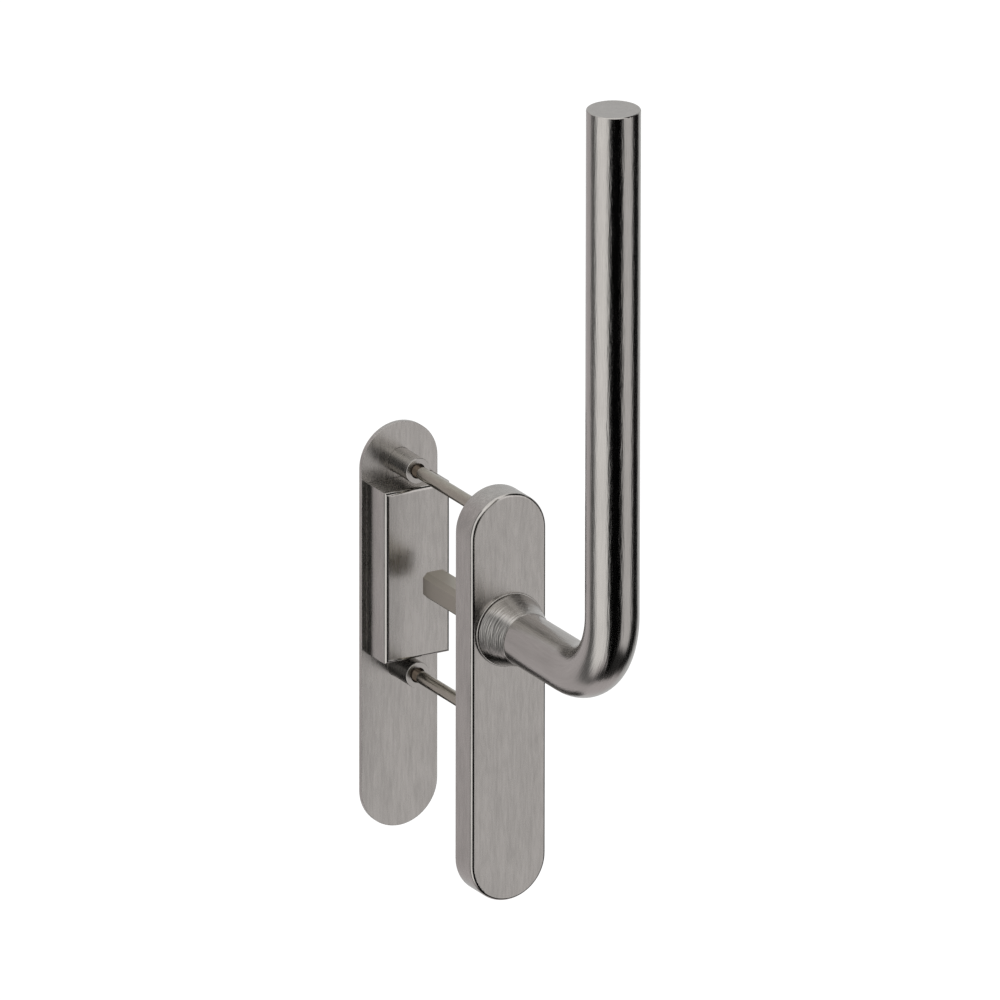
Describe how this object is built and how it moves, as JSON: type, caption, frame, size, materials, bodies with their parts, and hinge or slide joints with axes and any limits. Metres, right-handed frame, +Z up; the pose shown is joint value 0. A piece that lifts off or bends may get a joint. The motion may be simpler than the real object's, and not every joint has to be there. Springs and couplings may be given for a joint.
{
  "type": "door handle set",
  "caption": "Door handle set for a lift-and-slide door: a turning L-shaped bar lever on a capped plate, a square spindle, through screws and an outside plate with a finger cup.",
  "frame": {"origin": "on the spindle's axis, in the plane of the door's room-side face, which is the back face of the room-side plate", "axes": "+Z up along the plates and the raised lever, -Y towards the room, +Y through the door to the outside plate, +X to the right as seen from the room"},
  "size_m": [0.032, 0.1679, 0.3319],
  "materials": {
    "satin_steel": "satin brushed stainless steel, grain along the length of each piece",
    "plated_steel": "plated steel, slightly yellowish, matt",
    "cast_zinc": "die-cast zinc, as cast, fine grain",
    "spring_steel": "hardened spring steel, dark phosphate",
    "bush_polymer": "moulded acetal, matt"
  },
  "bodies": {
    "door_plates": {"neck_ring": "satin_steel", "cover_plate": "satin_steel", "base_plate": "cast_zinc", "bearing_bush": "bush_polymer", "spring_washer": "spring_steel", "thrust_washer": "plated_steel", "cover_clip_upper": "spring_steel", "cover_clip_lower": "spring_steel", "fixing_screw_upper": "plated_steel", "fixing_screw_lower": "plated_steel", "outer_plate": "satin_steel", "pull_cup": "satin_steel", "boss_upper": "satin_steel", "boss_lower": "satin_steel"},
    "lever": {"lever": "satin_steel", "lever_foot": "satin_steel", "spindle": "plated_steel", "spindle_grub_screw": "spring_steel", "stop_ring": "plated_steel", "retaining_ring": "spring_steel"}
  },
  "joints": [
    {"name": "lever_turn", "type": "hinge", "parent": "door_plates", "child": "lever", "pos_m": [0, 0, 0], "axis": [0, 1, 0], "range_deg": [0, 180]}
  ]
}
